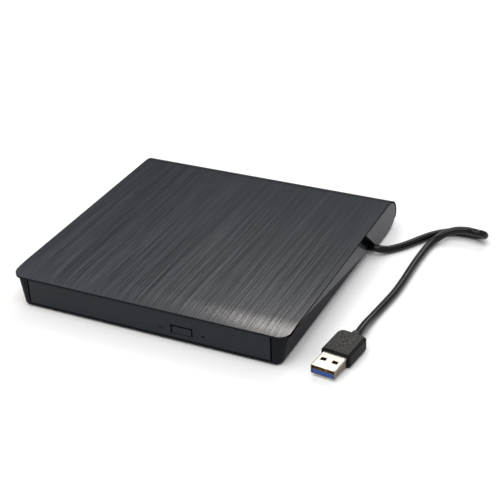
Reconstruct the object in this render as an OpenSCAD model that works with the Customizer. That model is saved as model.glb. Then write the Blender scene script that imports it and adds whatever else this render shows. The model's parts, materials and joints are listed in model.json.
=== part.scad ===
// External tray-loading disc drive: a slim drive in a low case with a tube-like rear end, a slanted
// cable slot on each side and a short captive cable that ends in a flat plug.
// Frame: +X to the right, +Y to the rear, +Z up. Origin at the bottom centre of the case.

/* [Disc] */
// Diameter of the disc that the tray takes
disc_dia = 120; // [110:1:130]
// Room round the disc in its well
disc_room = 0.6; // [0.4:0.1:0.8]

/* [Case] */
// Width of the case beside the drive, on each side
side_room = 9; // [8.2:0.1:12]
// Depth of the case behind the drive
rear_room = 16; // [14.5:0.1:20]
// Height of the case above the drive
roof_room = 3.4; // [3.1:0.1:5]
// Thickness of the brushed top skin
skin_t = 0.8; // [0.6:0.1:1]
// Thickness of the housing's side walls
wall_t = 1.6; // [1.2:0.1:1.8]
// Thickness of the housing's floor
floor_t = 1.2; // [1:0.1:1.4]
// How far the rubber feet lift the housing
foot_h = 0.8; // [0.6:0.1:1.2]
// Radius of a rubber foot
foot_r = 5; // [3.5:0.5:6]
// How far the front lip stands ahead of the front panel
lip_over = 1; // [0.9:0.1:1.4]
// Plan radius of the skin's front corners
corner_r = 5.6; // [5:0.1:7]
// Plan radius of the housing's front posts at their top
post_r = 5; // [4.4:0.1:6]
// Plan radius of the housing's front corners at their base
base_r = 3.6; // [3.2:0.1:4.2]
// How deep the skin's front roll runs
roll_d = 15; // [12:0.5:18]
// How far the skin's front roll drops
roll_h = 1.15; // [0.9:0.05:1.5]
// Height of the front lip's upright face
lip_h = 1; // [0.8:0.05:1.1]
// Depth of the rounded rear nose
nose_d = 12; // [11:0.5:14]
// Height of the nose's rearmost line
nose_z = 8.2; // [7.5:0.1:9]
// How far the housing's bottom edge lies inside its top edge
undercut = 3.7; // [2:0.1:4]

/* [Cable slot] */
// Width of the slanted slot
slot_w = 4.4; // [4.2:0.1:4.7]
// Lean of the slot below horizontal, in degrees
slot_lean = 42; // [38:1:46]
// Depth of the slot into the side
slot_depth = 4.8; // [4.4:0.1:5]
// Distance of the slot's upper end from the rear of the case
slot_back = 49.5; // [46:0.1:54]
// Height of the cable's outlet in the slot
boot_z = 3.9; // [3.8:0.1:4.4]

/* [Drive] */
// Height of the slim drive
drive_h = 12.6; // [11.4:0.1:14]
// Room beside the tray for its rails, on each side
rail_room = 3.6; // [3.3:0.1:4.5]
// Room behind the tray
tray_rear = 5; // [4.6:0.1:6]
// Thickness of the drive's lid
lid_t = 0.5; // [0.4:0.1:0.6]
// Thickness of the drive's pan
pan_t = 0.6; // [0.5:0.1:0.7]
// Thickness of the front panel with its returns
bezel_t = 4; // [3.6:0.1:4.2]
// Slit at each end of the front panel
bezel_gap = 0.8; // [0.4:0.05:1]

/* [Tray] */
// How far the disc well cuts through each side of the tray
well_over = 0.2; // [0:0.05:0.4]
// How far the disc well runs out of the tray's rear edge
well_open = 3.6; // [2:0.1:5]
// Rim of the tray ahead of the disc well
well_front = 0.4; // [0.4:0.1:1]
// Free height above the well's floor
well_room = 4.2; // [4:0.05:4.6]
// Running gap of the sliding rails
slide_gap = 0.08; // [0.05:0.01:0.1]

/* [Front panel] */
// Centre of the eject button across the panel
button_x = 19.3; // [18:0.1:20]
// Width of the eject button
button_w = 11; // [10:0.1:12]
// Height of the eject button
button_h = 4.2; // [3.6:0.1:4.6]
// Travel of the eject button
button_travel = 0.7; // [0.4:0.1:0.7]
// Height of the button's centre above the middle of the tray's front
button_up = 0.875; // [0.6:0.025:1]
// Centre of the indicator window across the panel
lens_x = 8.3; // [7:0.1:9]
// Position of the emergency pinhole across the panel
pinhole_x = 30.4; // [29:0.1:31]
// Radius of the emergency pinhole
pinhole_r = 0.6; // [0.4:0.05:0.8]

/* [Pickup] */
// Distance of the lens from the spindle at the innermost track
lens_in = 24; // [22:0.1:26]
// Distance of the outermost track from the disc's edge
track_edge = 2; // [1.5:0.1:3]
// Radius of the guide rods
rod_r = 1; // [0.8:0.05:1]
// Distance of each guide rod from the lens line
rod_v = 18; // [17.8:0.1:18.2]
// Radius of the lead screw
screw_r = 1.2; // [1:0.05:1.2]
// Distance of the lead screw from the lens line
screw_v = 22.6; // [22.4:0.1:22.8]
// Radius of the disc hub
hub_r = 7.4; // [7.3:0.01:7.45]

/* [Cable and plug] */
// Diameter of the cable
cord_dia = 4; // [3.6:0.1:4.4]
// Width of the plug's moulded grip
plug_w = 14.5; // [13.8:0.1:15.4]
// Thickness of the plug's moulded grip
plug_h = 7.4; // [7:0.1:8]
// Length of the plug's moulded grip
plug_len = 17.5; // [16:0.5:19]
// Width of the plug's metal shell
shell_w = 12; // [11.8:0.1:12.2]
// Height of the plug's metal shell
shell_h = 4.5; // [4.4:0.1:4.6]
// Length of the plug's metal shell
shell_len = 11.75; // [11:0.25:12.5]
// Wall of the plug's metal shell
shell_t = 0.3; // [0.25:0.05:0.4]

/* [Hidden] */
$fn = 48;
eps = 0.01;
// Small gap between pieces that nearly touch
gap = 0.1;
// Distance that a cutting shape runs past what it cuts
over = 2;

// The disc sets the well and tray, the tray sets the drive, and the drive sets the case
well_dia = disc_dia + 2 * disc_room;
tray_w = well_dia - 2 * well_over;
tray_len = well_front + well_dia - well_open;
drive_w = tray_w + 2 * rail_room;
drive_d = bezel_t + tray_len + tray_rear;
spindle_d = bezel_t + well_front + well_dia / 2;
case_w = drive_w + 2 * side_room;
case_d = lip_over + drive_d + rear_room;
case_h = foot_h + floor_t + drive_h + roof_room;

// Case levels and planes
drive_half = drive_w / 2;
front_y = -case_d / 2;
panel_y = front_y + lip_over;
lip_z = case_h - roll_h - lip_h;
lip_gap = 0.4;
nose_y = case_d / 2 - nose_d;
nose_low = foot_h + 0.4;
nose_seam = 5;
skirt_d = roll_d;
pan_z = foot_h + floor_t;
top_half = case_w / 2 - 0.2;
base_half = case_w / 2 - 0.2 - undercut;
seam_gap = 0.25;
seam_z = case_h - skin_t - seam_gap;
edge_cut = 0.8;
edge_in = 0.45;
slot_top_d = case_d - lip_over - slot_back;
post_in = 0.6;
flare_in = 0.9;
flare_z = 5.2;

// Slot pocket
slot_floor = top_half - slot_depth;
pocket_t = 1.2;
slot_z = case_h - 0.7;
slot_run = (slot_z - nose_low - 0.8) / sin(slot_lean);
boot_along = (slot_z - boot_z) / sin(slot_lean);
boot_r = slot_w / 2 - gap;
boot_neck = boot_r - 0.75;
boot_len = 2;
boot_flange = 0.9;
boot_flange_r = boot_r - 0.4;
body_end = slot_pt(slot_run, 0)[0] + 2.5;
flare_along = (slot_z - flare_z - slot_w / 2 * cos(slot_lean)) / sin(slot_lean);
flare_y = slot_pt(flare_along, -slot_w / 2)[0] + 0.6;

// Screws between the housing and the cover
boss_r = 2.6;
boss_x = drive_half - 12;
boss_d = drive_d + boss_r + 0.9;
boss_z = 3.6;
case_screw_r = 0.8;
case_head_r = 1.9;
case_head_z = 2.3;
case_screw_top = 9;
foot_x = base_half - foot_r - 9.1;
foot_rows = [post_r + 9, drive_d - 21];
foot_seat = 0.4;

// Drive levels
lid_top = pan_z + drive_h;
lid_z = lid_top - lid_t;
pan_top = pan_z + pan_t;
wall_x = drive_half - pan_t;
drive_front = bezel_t + 0.4;
rear_wall_d = drive_d - pan_t;
panel_z = pan_z + 0.6;
panel_top = lip_z - lip_gap;

// Tray levels
tray_gap = 0.35;
shield_t = 0.4;
shield_z = pan_top + tray_gap;
tray_z = shield_z + shield_t;
well_z = lid_z - well_room;
tray_top = well_z + 2.4;
web_t = 1;
web_z = well_z - web_t;
tray_half = tray_w / 2;
tray_end = bezel_t + tray_len;
tray_wall = 1.2;
pin_lane = 5.4;

// Rails, from the chassis wall inward
guide_t = 0.5;
rail_t = 0.5;
rail_z = tray_z + 3.15;
tongue_h = 2.5;
rail_in = tray_half + 0.9;
rail_out = wall_x - guide_t - slide_gap;
rail_half = tongue_h / 2 + slide_gap + rail_t;
guide_half = rail_half + slide_gap + 0.6;
tongue_x = rail_out - rail_t - slide_gap;
rail_span = [bezel_t + 8, drive_d - 7];
guide_span = [bezel_t + 2, drive_d - 3];
tongue_span = [bezel_t + 4, tray_end - 2];
tab_rows = [bezel_t + 4, drive_d - 8];
tab_len = 5;
lid_screw_x = drive_half - 2.6;

// Pickup deck, in a frame whose X axis runs from the spindle outward along the sled's travel
sled_turn = -135;
deck_gap = 0.4;
deck_t = 0.8;
deck_top = web_z - deck_gap;
deck_z = deck_top - deck_t;
rod_z = (tray_z + deck_z) / 2 - 0.075;
rod_wall = 0.45;
rod_fit = 0.04;
deck_back = -18;
deck_half = 21;
sled_half = 15.2;
sled_out = 3.5;
sled_back = 13;
sled_low = tray_z + 0.5;
sled_top = web_z - 0.3;
sled_arm = [rod_z - rod_r - rod_wall, rod_z + rod_r + 0.35];
sled_travel = disc_dia / 2 - track_edge - lens_in;
window_half = sled_half + 0.5;
sled_reach = lens_in + sled_out + sled_travel;
window_out = sled_reach + 0.8;
rotor_r = 10.4;
rotor_hole = rotor_r + 0.8;
ring_wall = 0.9;
stator_r = 11.8;
spindle_cut = rotor_hole + ring_wall + 0.4;
shaft_r = 1.5;
shaft_fit = 0.05;
seat_z = well_z + 1.1;
rotor_z = deck_z + 0.3;
hub_wall = 1.8;
hub_cone = 0.6;
flange_r = 13;
rod_ends = [8.6, sled_reach - 1.1];
rod_block = 2.8;
motor_span = [0.6, 12.4];
motor_half = 3;
front_reach = (spindle_d - bezel_t - tray_wall - 0.3) / sin(45);
screw_side = screw_v + 1.8;
screw_end = min(rod_ends[1] - 2.6, front_reach - screw_side);
screw_block = [screw_end - 1.6, screw_end];
screw_span = [motor_span[1] + 0.4, screw_block[0] - 0.2];
journal_r = 0.6;
arm_span = [13, 21];
mount_out = sled_reach - 16.5;
mount_v = screw_v + 4.6;
deck_mounts = [[-14, 15], [-14, -15], [mount_out, mount_v], [mount_out, -mount_v]];
deck_screw_r = 0.8;
damper_r = 2.2;
well_window_r = 16.5;
holder_half = 4.7;
holder_play = 0.3;
focus_travel = 0.4;
holder_z = sled_top - 1.4;
lens_r = 2.2;

// Front electronics and latch
board_t = 0.8;
front_board_z = tray_z + 0.65;
front_board_x = [lens_x - 5.3, button_x + 8.7];
front_board_d = [bezel_t + 1.4, bezel_t + 12];
button_z = (tray_z + web_z) / 2 + button_up;
switch_d = bezel_t + 2.4;
stem_half = 1.2;
latch_x = tray_half - 10.4;
latch_d = bezel_t + 18;
latch_z = [tray_z + 0.85, tray_z + 2.25];
latch_pin_x = tray_half - 3.1;
latch_pin_d = latch_d - 6;
latch_pin_r = 1;
latch_post_r = 1;
release_turn = 27;
release_len = (latch_x - pinhole_x) / cos(release_turn) - 0.5;
control_x = [tray_half - 40.4, tray_half - 6.4];
control_d = [tray_end - 46, tray_end - 18];
control_z = web_z - 2.7;
shield_end = control_d[1] - 1;

// Ejector in the tray's rear left corner
eject_x = -tray_half + 4.9;
eject_z = (tray_z + web_z) / 2 + 0.425;
eject_block = [tray_end - 30, tray_end - 10];
eject_low = max(eject_z - 2.6, tray_z + gap);
eject_bore = 1.9;
eject_rod_r = 1.1;
eject_collar = [eject_block[0] + 12, eject_block[0] + 13.5];
eject_spring_end = eject_block[0] + 3.1;

// Rear electronics
drive_board_d = [drive_d - 17, drive_d - 1.5];
drive_board_x = drive_half - 22;
drive_board_z = pan_top + 0.8;
plug_span_x = [-22, 12];
plug_h_in = min(4.6, web_z - gap - drive_board_z - board_t);
plug_back = 0.4;
plug_span_z = [drive_board_z + board_t, drive_board_z + board_t + plug_h_in];
bridge_z = drive_board_z;
bridge_d = [drive_d + 1.2, nose_in(bridge_z) - panel_y - 0.78];
bridge_x = drive_half - 24;
socket_d = [drive_d + plug_back + 0.5, drive_d + 7];
socket_slot = [bridge_z + board_t + 0.3 * plug_h_in, bridge_z + board_t + 0.74 * plug_h_in];
socket_end = drive_d + 5;
wire_d = boss_d + boss_r + 1.3;
wire_t = 1.2;
wire_z = bridge_z + board_t + 1.3;
wire_low = boot_z - 0.8;
foam_d = [20, drive_d - 17];
foam_x = [drive_half - 26, drive_half - 12];

// Flat ribbon between the drive board and the tray
ribbon_x = [control_x[0] + 4, control_x[0] + 18];
ribbon_t = 0.08;
ribbon_low = pan_top + 0.02;
ribbon_high = shield_z - ribbon_t - 0.02;
ribbon_fold = tray_end - 86;

// Plug on the table beside the case
plug_yaw = -6.4;
collar_len = 3.2;
collar_r = plug_h / 2 - 1.1;
cord_r = cord_dia / 2;
cord_start = [slot_floor + boot_len, slot_pt(boot_along, 0)[0]];
plug_at = [cord_start[0] + 20.7, cord_start[1] - 97.3];
plug_z = plug_h / 2;
plug_end = [
    plug_at[0] - (plug_len + collar_len) * sin(plug_yaw),
    plug_at[1] + (plug_len + collar_len) * cos(plug_yaw)
];

// Route of the cable from its outlet to the first strand, as steps in plan and heights above its rest
leave = [
    [0, 0, boot_z - cord_r], [3.2, 0, boot_z - cord_r], [6.2, 0.6, 1.5], [8.2, 2.2, 0.8], [10.4, 4.7, 0.1],
    [14.4, 9.2, 0], [18, 14.6, 0], [21.3, 20.2, 0], [24.9, 25.6, 0]
];
// Turn that rises and comes back over the first strand
loop = [
    [29.3, 30.4, 0], [34.7, 33.9, 0], [40.6, 35, 0], [46.4, 34.8, 0.1], [49.8, 34, 0.8],
    [51.7, 32.6, 1.8], [52.2, 30.9, 3.2], [51.3, 29.4, 4.4], [49.4, 28.6, 5], [47, 28.6, 5.1],
    [43.6, 29.3, 4.9], [37.9, 28.9, 4.1], [33, 26.3, 2.7], [29.2, 21.5, 0.9], [27.4, 15.4, 0.1],
    [26.8, 9, 0]
];
// Run to the plug, as steps from the plug's collar
approach = [
    [3.5, 78.4, 0], [3.4, 72, 0], [3.4, 65.8, 0], [3.5, 59.7, 0], [3.5, 53.6, 0], [3.4, 47.7, 0],
    [3.1, 41.6, 0], [2.5, 35.7, 0], [1.8, 29.7, 0], [1.1, 23.8, 0], [0.5, 17.4, 0.3]
];
route = concat(
    [for (p = concat(leave, loop)) [cord_start[0] + p[0], cord_start[1] + p[1], cord_r + p[2]]],
    [for (p = approach) [plug_end[0] + p[0], plug_end[1] + p[1], cord_r + p[2]]],
    [
        [plug_end[0] + 0.15, plug_end[1] + 11, (2 * cord_r + 3 * plug_z) / 5],
        [plug_end[0] + 0.2, plug_end[1] + 5.8, (cord_r + 9 * plug_z) / 10],
        [plug_end[0] + 0.2, plug_end[1] + 2.4, plug_z],
        [plug_end[0], plug_end[1], plug_z]
    ]
);
cord_sides = 10;

// Position d behind the front panel's face
function yd(d) = panel_y + d;

// Points of an elliptic arc in the side view
function arc(c, a, b, from, to, n) = [
    for (i = [0:n])
        let (t = from + (to - from) * i / n)
        [c[0] + a * cos(t), c[1] + b * sin(t)]
];

// Roof line, k inside the outer surface, from the front lip to the rearmost line of the nose
function roof_line(k) = concat(
    [
        for (i = [0:12])
            let (d = k + (roll_d - k) * i / 12)
            [front_y + d, case_h - k - roll_h * pow(1 - d / roll_d, 2)]
    ],
    arc([nose_y, nose_z], nose_d - k, case_h - nose_z - k, 90, 0, 14)
);

// Lower nose line, k inside the outer surface
function nose_line(k) = arc([nose_y, nose_z], nose_d - k, nose_z - nose_low - k, 0, -90, 10);

// Depth of the lower nose line at the seam between the cover and the housing
function seam_y(z, k) =
    nose_y + (nose_d - k) * cos(asin((nose_z - z) / (nose_z - nose_low - k)));

// Depth of the inside of the lower nose at a level
function nose_in(z) =
    nose_y + (nose_d - wall_t) * sqrt(1 - pow((nose_z - z) / (nose_z - pan_z), 2));

// Side view of everything under the skin
function case_fill(k) = concat(
    roof_line(k),
    nose_line(k),
    [[nose_y, -over], [front_y + k, -over]]
);

// Point in the side view, along the slot from its upper end and across it
function slot_pt(along, across) = [
    yd(slot_top_d) + along * cos(slot_lean) + across * sin(slot_lean),
    slot_z - along * sin(slot_lean) + across * cos(slot_lean)
];

// Unit vector
function unit(v) = v / norm(v);

// Box between low and high values on each axis
module span(x, y, z) {
    translate([x[0], y[0], z[0]])
        cube([x[1] - x[0], y[1] - y[0], z[1] - z[0]]);
}

// Box whose Y range is given behind the front panel
module span_d(x, d, z) {
    span(x, [yd(d[0]), yd(d[1])], z);
}

// Side view outline swept across the case
module across(points, x) {
    translate([x[0], 0, 0])
        rotate([90, 0, 90])
            linear_extrude(x[1] - x[0])
                polygon(points);
}

// Cylinder along Z between two levels
module post(x, y, z, r) {
    translate([x, y, z[0]])
        cylinder(r = r, h = z[1] - z[0]);
}

// Cylinder along X between two values
module post_x(x, y, z, r) {
    translate([x[0], y, z])
        rotate([0, 90, 0])
            cylinder(r = r, h = x[1] - x[0]);
}

// Cylinder along Y between two values
module post_y(x, y, z, r) {
    translate([x, y[0], z])
        rotate([-90, 0, 0])
            cylinder(r = r, h = y[1] - y[0]);
}

// Both mirrored sides of a piece made on the right
module both_sides() {
    children();
    mirror([1, 0, 0])
        children();
}

// Plan of the case with round front corners, k inside the outer edge
module plan(k) {
    r = corner_r - k;
    union() {
        translate([-case_w / 2 + k, front_y + corner_r])
            square([case_w - 2 * k, case_d]);
        translate([-case_w / 2 + corner_r, front_y + k])
            square([case_w - 2 * corner_r, case_d]);
        for (s = [-1, 1])
            translate([s * (case_w / 2 - corner_r), front_y + corner_r])
                circle(r);
    }
}

// Prism of the plan over the whole height
module plan_prism(k) {
    translate([0, 0, -over])
        linear_extrude(case_h + 2 * over)
            plan(k);
}

// Brushed skin grown outward by out, with its inside moved g further in
module skin_shell(out, g) {
    k = skin_t + g;
    wide = [-case_w / 2 - over, case_w / 2 + over];
    lip_end = front_y + skirt_d;
    outer = concat(
        roof_line(-out),
        [for (p = nose_line(-out)) if (p[1] > nose_seam - g) p],
        [
            [seam_y(nose_seam - g, -out), nose_seam - g],
            [lip_end + over, nose_seam - g],
            [lip_end + over, lip_z - g],
            [front_y - out, lip_z - g]
        ]
    );
    difference() {
        intersection() {
            across(outer, wide);
            plan_prism(-out);
        }
        intersection() {
            across(case_fill(k), wide);
            plan_prism(k);
        }
        intersection() {
            across(case_fill(k), wide);
            span(wide, [lip_end, case_d], [-over, case_h]);
        }
        across(
            [
                [front_y + corner_r - over, -over],
                [front_y + corner_r - over, lip_z - g],
                [lip_end, case_h - skin_t - g],
                [lip_end + over, case_h - skin_t - g],
                [lip_end + over, -over]
            ],
            wide
        );
    }
}

// Brushed top skin with two screw bosses and two front tabs
module top_cover() {
    color("#3f3f42")
        union() {
            skin_shell(0, 0);
            both_sides() {
                difference() {
                    post(boss_x, yd(boss_d), [boss_z, case_h - skin_t / 2], boss_r);
                    post(boss_x, yd(boss_d), [boss_z - over, case_screw_top + 1], case_screw_r + 0.02);
                }
                span_d([top_half - 4.6, top_half - 3.4], [16, 24], [case_h - 4.5, case_h - skin_t / 2]);
            }
        }
}

// Corner of the housing's outline
module housing_corner(x, r, z, inset) {
    translate([x - r, panel_y + inset + r, z])
        cylinder(r = r, h = eps, $fn = 32);
}

// Drafted body of the housing ahead of the slots, k inside its outer surface
module housing_body(k, low) {
    rear = [body_end - eps, body_end];
    base = [low + edge_cut, low + edge_cut + eps];
    top = [seam_z - eps, seam_z];
    hull()
        both_sides() {
            housing_corner(base_half - edge_in - k, base_r - edge_in - k, low, edge_in + k);
            housing_corner(base_half - k, base_r - k, base[0], k);
            housing_corner(top_half - post_in - k, post_r - k, top[0], k);
            span([0, base_half - edge_in - k], rear, [low, low + eps]);
            span([0, base_half - k], rear, base);
            span([0, top_half - k], rear, top);
            span([0, top_half - flare_in - k], [flare_y, flare_y + eps], [flare_z, flare_z + eps]);
        }
}

// Narrow gap under the rim, behind each front post
module rim_relief() {
    start = front_y + corner_r - 0.9;
    end = front_y + skirt_d + over;
    across(
        [[start, lip_z + over], [start, lip_z - 0.9], [end, seam_z - 0.05], [end, lip_z + over]],
        [slot_floor, case_w]
    );
}

// Everything behind a line parallel to the slot, in the side view
function behind_slot(across_by) = [
    slot_pt(-case_h, across_by),
    slot_pt(3 * case_h, across_by),
    [case_d, slot_pt(3 * case_h, across_by)[1]],
    [case_d, slot_pt(-case_h, across_by)[1]]
];

// Flat end of the rear tube, behind the slot
module tube_end(x) {
    seam = nose_seam - seam_gap;
    low_band = concat(
        [for (p = nose_line(0)) if (p[1] < seam) p],
        [[front_y, nose_low], [front_y, seam], [seam_y(seam, 0), seam]]
    );
    intersection() {
        across(behind_slot(slot_w / 2), x);
        union() {
            intersection() {
                across(case_fill(skin_t + seam_gap), x);
                span(x, [front_y, case_d], [nose_seam - seam_gap - eps, case_h]);
            }
            across(low_band, x);
        }
    }
}

// Lower half of the nose, from the floor up to the seam
module lower_nose() {
    inner_d = nose_d - wall_t;
    inner_h = nose_z - pan_z;
    seam = nose_seam - seam_gap;
    inner_seam = nose_y + inner_d * cos(asin((nose_z - seam) / inner_h));
    band = concat(
        [[seam_y(seam, 0), seam]],
        [for (p = nose_line(0)) if (p[1] < seam) p],
        [[body_end - 5, nose_low], [body_end - 5, pan_z]],
        [for (p = arc([nose_y, nose_z], inner_d, inner_h, -90, 0, 10)) if (p[1] < seam) p],
        [[inner_seam, seam]]
    );
    union() {
        across(band, [-slot_floor, slot_floor]);
        intersection() {
            across(band, [-top_half, top_half]);
            across(behind_slot(slot_w / 2), [-top_half, top_half]);
        }
    }
}

// Walls that close the slot's pocket on the right side
module slot_pocket() {
    inner = [slot_floor - pocket_t, slot_floor];
    wall = [slot_floor - pocket_t, top_half];
    intersection() {
        union() {
            across(
                [
                    slot_pt(-2.2, -slot_w),
                    slot_pt(slot_run, -slot_w),
                    slot_pt(slot_run, slot_w),
                    slot_pt(-2.2, slot_w)
                ],
                inner
            );
            across(
                [
                    slot_pt(-2.2, slot_w / 2),
                    slot_pt(slot_run + 0.5, slot_w / 2),
                    slot_pt(slot_run + 0.5, slot_w / 2 + pocket_t),
                    slot_pt(-2.2, slot_w / 2 + pocket_t)
                ],
                wall
            );
        }
        across(case_fill(skin_t + seam_gap), wall);
        span(wall, [front_y, case_d], [foot_h, case_h]);
    }
}

// Wall ahead of the slot, bevelled along its visible edge
module slot_front_wall() {
    wall = [slot_floor - pocket_t, top_half];
    lead = slot_w / 2 + pocket_t;
    intersection() {
        across(
            [
                slot_pt(-3, -lead),
                slot_pt(slot_run - 1.5, -lead),
                slot_pt(slot_run - 1.5, -slot_w / 2),
                slot_pt(-3, -slot_w / 2)
            ],
            wall
        );
        housing_body(0, foot_h);
    }
}

// Slanted bevel cut along the slot's front edge
module slot_bevel() {
    width = 4.4;
    depth = 1.5;
    across_edge = -slot_w / 2;
    translate([0, slot_pt(0, across_edge)[0], slot_pt(0, across_edge)[1]])
        rotate([-slot_lean, 0, 0])
            translate([top_half, 0, 0])
                rotate([90, 0, 0])
                    translate([0, 0, -40])
                        linear_extrude(80)
                            polygon([
                                [over, -width - over], [0, -width], [-depth, 0],
                                [-depth, over], [over, over]
                            ]);
}

// Housing: floor, drafted sides, front posts, rear tube ends and slot pockets
module housing() {
    opening = drive_half + bezel_gap;
    rib_x = [drive_half + gap, base_half - wall_t + 1];
    rib_t = 2;
    color("#26282c")
        difference() {
            union() {
                difference() {
                    intersection() {
                        housing_body(0, foot_h);
                        across(case_fill(skin_t + seam_gap), [-case_w, case_w]);
                    }
                    housing_body(wall_t, pan_z);
                    span([-drive_half - 1.4, drive_half + 1.4], [yd(wall_t), case_d], [pan_z, case_h]);
                    both_sides()
                        across(behind_slot(-slot_w / 2), [slot_floor, case_w]);
                    span([-opening, opening], [front_y - over, yd(wall_t + over)], [pan_z, case_h]);
                }
                lower_nose();
                both_sides() {
                    tube_end([top_half - wall_t, top_half]);
                    slot_pocket();
                    slot_front_wall();
                    for (d = [foot_rows[0] + 8, foot_rows[0] + 48])
                        span_d(rib_x, [d, d + rib_t], [pan_z - eps, lid_top - 4]);
                    post(boss_x, yd(boss_d), [nose_low + 0.2, boss_z - gap], boss_r + 0.3);
                    span_d(
                        [bridge_x - 6, bridge_x - 2],
                        [bridge_d[0] + 1.8, bridge_d[0] + 5.8],
                        [pan_z - 0.4, bridge_z]
                    );
                }
            }
            skin_shell(1, seam_gap);
            both_sides() {
                slot_bevel();
                rim_relief();
                for (d = foot_rows)
                    post(foot_x, yd(d), [-over, foot_h + foot_seat], foot_r + 0.05);
                post(boss_x, yd(boss_d), [-over, case_head_z], case_head_r + gap);
                post(boss_x, yd(boss_d), [0, boss_z + over], case_screw_r + gap);
            }
            boot_place()
                post_x([-pocket_t - over, over], 0, 0, boot_neck + 0.05);
        }
}

// Four rubber feet in shallow seats
module rubber_feet() {
    color("#1b1b1c")
        both_sides()
            for (d = foot_rows)
                post(foot_x, yd(d), [0, foot_h + foot_seat], foot_r);
}

// Two screws from below into the cover's bosses
module case_screws() {
    color("#8a8c90")
        both_sides()
            difference() {
                union() {
                    post(boss_x, yd(boss_d), [case_head_z - 1, case_head_z], case_head_r);
                    post(boss_x, yd(boss_d), [case_head_z - eps, case_screw_top], case_screw_r);
                }
                for (a = [0, 90])
                    translate([boss_x, yd(boss_d), case_head_z - 1])
                        rotate([0, 0, a])
                            cube([2, 0.5, 1], center = true);
            }
}

// Foam strips between the drive and the roof
module foam_pads() {
    color("#3a3a3a")
        both_sides()
            span_d(foam_x, foam_d, [lid_top, case_h - skin_t]);
}

// Place of the strain relief: in the middle of the slot, at its pocket floor
module boot_place() {
    translate([slot_floor, slot_pt(boot_along, 0)[0], slot_pt(boot_along, 0)[1]])
        children();
}

// Strain relief through the slot's pocket floor
module cable_boot() {
    color("#161618")
        boot_place()
            union() {
                post_x([0, boot_len], 0, 0, boot_r);
                post_x([-pocket_t - eps, eps], 0, 0, boot_neck);
                post_x([-pocket_t - boot_flange, -pocket_t], 0, 0, boot_flange_r);
            }
}

// Wires from the strain relief to the bridge board
module wire_bundle() {
    wires = [drive_half + 0.2, slot_floor - pocket_t - boot_flange];
    boot_d = slot_pt(boot_along, 0)[0] - panel_y;
    leg_x = [bridge_x - 2 - wire_t, bridge_x - 2];
    run = [wire_d, wire_d + wire_t];
    color("#7a1f1f")
        union() {
            span_d(wires, [boot_d - 1.5, run[1]], [wire_low, wire_low + 1.5]);
            span_d(wires, run, [wire_low, wire_z + wire_t]);
            span_d([leg_x[0], wires[1]], run, [wire_z, wire_z + wire_t]);
            span_d(leg_x, run, [bridge_z + board_t, wire_z + wire_t]);
        }
}

// Bridge board between the drive and the cable
module bridge_board() {
    color("#1e5a3a")
        span_d([-bridge_x, bridge_x], bridge_d, [bridge_z, bridge_z + board_t]);
}

// Parts soldered to the bridge board
module bridge_chips() {
    top = bridge_z + board_t;
    near = bridge_d[0];
    pitch = min(3, (bridge_x + plug_span_x[0] - 6) / 3);
    color("#202024")
        union() {
            span_d([bridge_x - 20, bridge_x - 14], [near + 0.8, bridge_d[1] - 1.8], [top, top + 1]);
            span_d([bridge_x - 11, bridge_x - 7.5], [near + 1.3, near + 3.3], [top, top + 1.2]);
            for (i = [0:3])
                span_d(
                    [3 + i * pitch - bridge_x, 4.6 + i * pitch - bridge_x],
                    [near + 1.8, near + 2.8],
                    [top, top + 0.9]
                );
        }
}

// Socket on the bridge board
module bridge_socket() {
    color("#18181a")
        difference() {
            span_d(
                [plug_span_x[0] - 1, plug_span_x[1] + 1],
                socket_d,
                [bridge_z + board_t, bridge_z + board_t + plug_h_in]
            );
            span_d([plug_span_x[0] + 1, plug_span_x[1] - 1], [drive_d, socket_end], socket_slot);
        }
}

// Pan of the drive: floor, side walls, rear wall, lid tabs and board standoffs
module drive_pan() {
    sides = [drive_front, drive_d];
    color("#a9adb2")
        difference() {
            union() {
                span_d([-drive_half, drive_half], sides, [pan_z, pan_top]);
                both_sides() {
                    span_d([wall_x, drive_half], sides, [pan_z, lid_z]);
                    for (d = tab_rows)
                        span_d(
                            [drive_half - 4.5, drive_half - pan_t / 2],
                            [d, d + tab_len],
                            [lid_z - 1, lid_z]
                        );
                    for (d = [drive_board_d[0] + 4, drive_board_d[1] - 3.5])
                        post(drive_board_x - 4, yd(d), [pan_z, drive_board_z], 2);
                }
                span_d([-drive_half, drive_half], [rear_wall_d, drive_d], [pan_z, lid_z]);
            }
            span_d(
                [plug_span_x[0] - 1, plug_span_x[1] + 1],
                [rear_wall_d - over, drive_d + over],
                [plug_span_z[0] - 1.2, plug_span_z[1] + 0.6]
            );
            lid_screw_holes();
        }
}

// Holes for the lid screws
module lid_screw_holes() {
    both_sides()
        for (d = tab_rows)
            post(lid_screw_x, yd(d + tab_len / 2), [lid_z - over, lid_top + over], 0.75);
}

// Lid of the drive
module drive_lid() {
    color("#b4b8bc")
        difference() {
            span_d([-drive_half, drive_half], [drive_front, drive_d], [lid_z, lid_top]);
            lid_screw_holes();
        }
}

// Four screws that hold the lid to the pan
module lid_screws() {
    color("#6f7277")
        both_sides()
            for (d = tab_rows) {
                post(lid_screw_x, yd(d + tab_len / 2), [lid_top, lid_top + 0.3], 1.4);
                post(lid_screw_x, yd(d + tab_len / 2), [lid_z - 0.9, lid_top + eps], 0.7);
            }
}

// Fixed guide on the right wall of the pan
module guide_shape() {
    lip = [rail_in, wall_x];
    union() {
        span_d([wall_x - guide_t, wall_x], guide_span, [rail_z - guide_half, rail_z + guide_half]);
        span_d(lip, guide_span, [rail_z + rail_half + slide_gap, rail_z + guide_half]);
        span_d(lip, guide_span, [rail_z - guide_half, rail_z - rail_half - slide_gap]);
    }
}

// Fixed guide on the left
module left_guide() {
    color("#d8d4c8")
        mirror([1, 0, 0])
            guide_shape();
}

// Fixed guide on the right
module right_guide() {
    color("#d8d4c8")
        guide_shape();
}

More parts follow.
